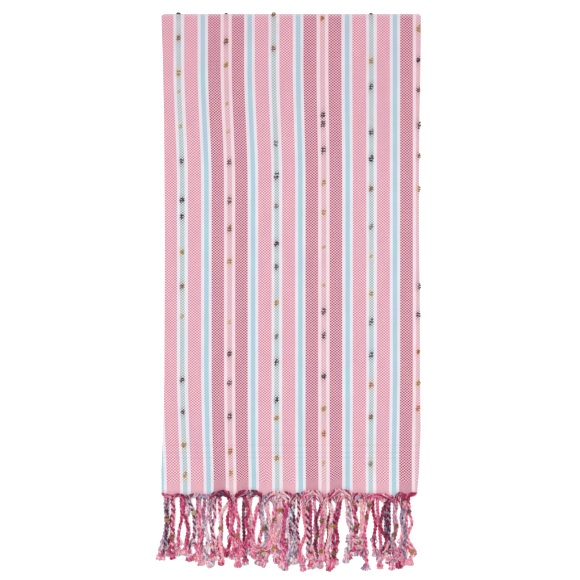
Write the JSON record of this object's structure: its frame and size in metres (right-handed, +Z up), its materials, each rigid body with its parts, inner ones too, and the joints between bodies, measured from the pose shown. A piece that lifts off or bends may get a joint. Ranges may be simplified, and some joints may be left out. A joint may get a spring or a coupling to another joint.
{
  "type": "hammam towel",
  "caption": "Striped cotton hammam towel, folded in from both sides and then in half, with a knotted fringe on each end.",
  "frame": {"origin": "middle of the underside of the bounding box, on the surface that the towel lies on", "axes": "+Z up from that surface, +Y along the towel towards its fold and away from the fringe, +X to the right as it is seen from above with the fold at the top"},
  "size_m": [0.417, 0.8932, 0.0132],
  "materials": {
    "striped_cotton": "matte woven cotton in pink, rose, white and pale blue stripes",
    "fringe_yarn": "matte twisted yarn, space-dyed from crimson to grey-blue"
  },
  "bodies": {
    "root": {"towel_cloth": "striped_cotton", "fringe_upper": "fringe_yarn", "fringe_lower": "fringe_yarn"}
  },
  "joints": []
}
